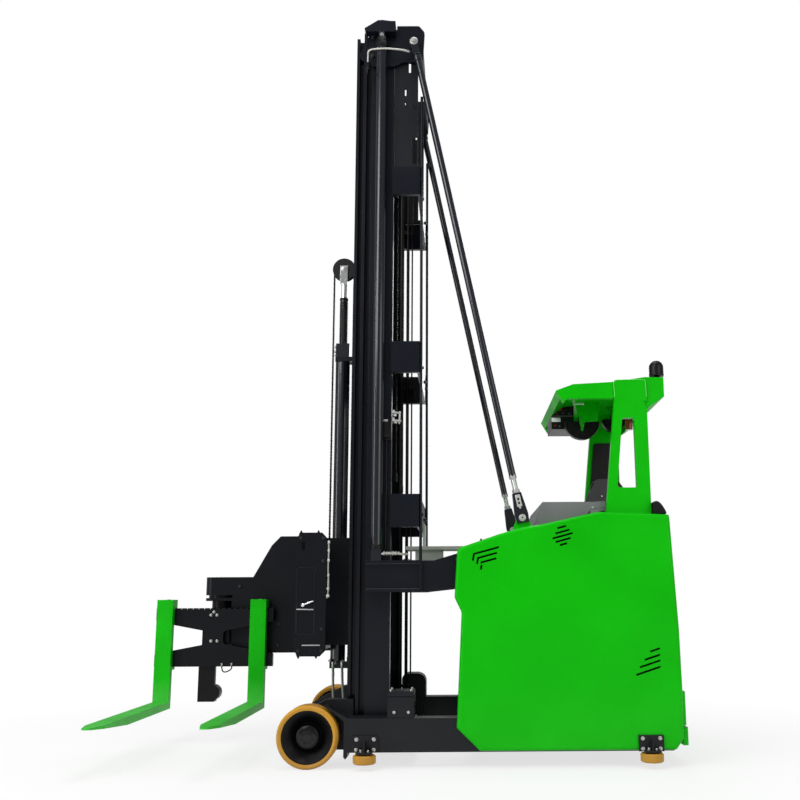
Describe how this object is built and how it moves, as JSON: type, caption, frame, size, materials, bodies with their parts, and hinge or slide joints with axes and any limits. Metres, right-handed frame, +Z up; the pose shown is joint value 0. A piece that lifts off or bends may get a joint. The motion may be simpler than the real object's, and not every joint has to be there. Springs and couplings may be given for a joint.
{
  "type": "multidirectional forklift",
  "caption": "Man-down narrow-aisle stacker: nested lift mast on stays, sliding turret head with swinging forks, rear cab with overhead guard.",
  "frame": {"origin": "on the ground under the middle of the outline at rest", "axes": "+X towards the forks end, +Y to the left of the truck, +Z up"},
  "size_m": [3.305, 1.6778, 4.628],
  "materials": {
    "green_paint": "gloss",
    "charcoal_paint": "satin",
    "black_paint": "satin",
    "battery_case": "matt",
    "grey_plastic": "grained",
    "grey_paint": "satin",
    "black_plastic": "matt",
    "seat_leather": "matt",
    "amber_plastic": "gloss",
    "chromed_steel": "polished",
    "bare_steel": "oiled",
    "amber_tyre": "satin"
  },
  "bodies": {
    "chassis": {"chassis_frame": "charcoal_paint", "guide_brackets": "black_paint", "foot_boxes": "charcoal_paint", "body_side_left": "green_paint", "body_side_right": "green_paint", "body_front": "green_paint", "body_hood": "green_paint", "body_rear": "green_paint", "battery_block": "battery_case", "operator_floor": "black_paint", "console": "grey_plastic", "seat": "seat_leather", "guard_post_left": "green_paint", "guard_post_right": "green_paint", "post_cover_left": "black_plastic", "post_cover_right": "black_plastic", "rear_pads": "seat_leather", "guard_canopy": "green_paint", "canopy_box": "black_plastic", "canopy_fans": "black_plastic", "amber_lamp": "amber_plastic", "beacon": "black_plastic", "mast_outer_left": "charcoal_paint", "mast_outer_right": "charcoal_paint", "mast_frame": "charcoal_paint", "hose_trays": "black_paint", "guard_bars": "black_paint", "mast_supports": "charcoal_paint", "mast_pipes": "black_paint", "hose_bridge": "grey_paint", "lift_barrels": "charcoal_paint", "stays": "charcoal_paint"},
    "middle_stage": {"mast_middle": "charcoal_paint", "lift_rods": "chromed_steel"},
    "inner_stage": {"mast_inner": "charcoal_paint", "freelift_barrel": "charcoal_paint", "chain_rear": "bare_steel"},
    "lift_ram": {"freelift_rod": "chromed_steel", "chain_sheave": "bare_steel", "chain_wrap": "bare_steel", "chain_front": "bare_steel"},
    "carriage": {"carriage_frame": "charcoal_paint"},
    "turret_head": {"head_frame": "charcoal_paint"},
    "fork_unit": {"fork_carriage": "charcoal_paint", "fork_front": "green_paint", "fork_rear": "green_paint", "sensor_bracket": "black_paint"},
    "load_wheel_left": {"load_tyre_left": "amber_tyre", "load_rim_left": "black_paint"},
    "load_wheel_right": {"load_tyre_right": "amber_tyre", "load_rim_right": "black_paint"},
    "drive_unit": {"drive_housing": "black_paint"},
    "drive_wheel": {"drive_tyre": "amber_tyre", "drive_rim": "black_paint"},
    "guide_wheel_front_left": {"guide_roller_front_left": "amber_tyre"},
    "guide_wheel_front_right": {"guide_roller_front_right": "amber_tyre"},
    "guide_wheel_rear_left": {"guide_roller_rear_left": "amber_tyre"},
    "guide_wheel_rear_right": {"guide_roller_rear_right": "amber_tyre"}
  },
  "joints": [
    {"name": "middle_lift", "type": "slide", "parent": "chassis", "child": "middle_stage", "axis": [0, 0, 1], "range_m": [0, 2.9]},
    {"name": "inner_lift", "type": "slide", "parent": "middle_stage", "child": "inner_stage", "axis": [0, 0, 1], "range_m": [0, 2.9]},
    {"name": "free_lift", "type": "slide", "parent": "inner_stage", "child": "lift_ram", "axis": [0, 0, 1], "range_m": [-0.08, 1.45], "deforming": ["chain_front", "chain_rear"]},
    {"name": "carriage_lift", "type": "slide", "parent": "inner_stage", "child": "carriage", "axis": [0, 0, 1], "range_m": [-0.16, 2.9]},
    {"name": "head_traverse", "type": "slide", "parent": "carriage", "child": "turret_head", "axis": [0, 1, 0], "range_m": [0, 0.98]},
    {"name": "fork_swing", "type": "hinge", "parent": "turret_head", "child": "fork_unit", "pos_m": [1.2625, -0.6014, 0.7], "axis": [0, 0, 1], "range_deg": [-180, 0]},
    {"name": "load_wheel_left_roll", "type": "hinge", "parent": "chassis", "child": "load_wheel_left", "pos_m": [0.4775, 0.4736, 0.1715], "axis": [0, 1, 0], "continuous": true},
    {"name": "load_wheel_right_roll", "type": "hinge", "parent": "chassis", "child": "load_wheel_right", "pos_m": [0.4775, -0.6964, 0.1715], "axis": [0, 1, 0], "continuous": true},
    {"name": "drive_steer", "type": "hinge", "parent": "chassis", "child": "drive_unit", "pos_m": [-1.2825, -0.1114, 0.43], "axis": [0, 0, 1], "range_deg": [-90, 90]},
    {"name": "drive_roll", "type": "hinge", "parent": "drive_unit", "child": "drive_wheel", "pos_m": [-1.2825, -0.1114, 0.175], "axis": [0, 1, 0], "continuous": true},
    {"name": "guide_wheel_front_left_roll", "type": "hinge", "parent": "chassis", "child": "guide_wheel_front_left", "pos_m": [0.1555, 0.5526, 0.058], "axis": [0, 0, 1], "continuous": true},
    {"name": "guide_wheel_front_right_roll", "type": "hinge", "parent": "chassis", "child": "guide_wheel_front_right", "pos_m": [0.1555, -0.7754, 0.058], "axis": [0, 0, 1], "continuous": true},
    {"name": "guide_wheel_rear_left_roll", "type": "hinge", "parent": "chassis", "child": "guide_wheel_rear_left", "pos_m": [-1.4285, 0.5526, 0.058], "axis": [0, 0, 1], "continuous": true},
    {"name": "guide_wheel_rear_right_roll", "type": "hinge", "parent": "chassis", "child": "guide_wheel_rear_right", "pos_m": [-1.4285, -0.7754, 0.058], "axis": [0, 0, 1], "continuous": true}
  ],
  "couplings": [
    {"joint": "inner_lift", "follows": "middle_lift", "ratio": 1},
    {"joint": "carriage_lift", "follows": "free_lift", "ratio": 2}
  ]
}
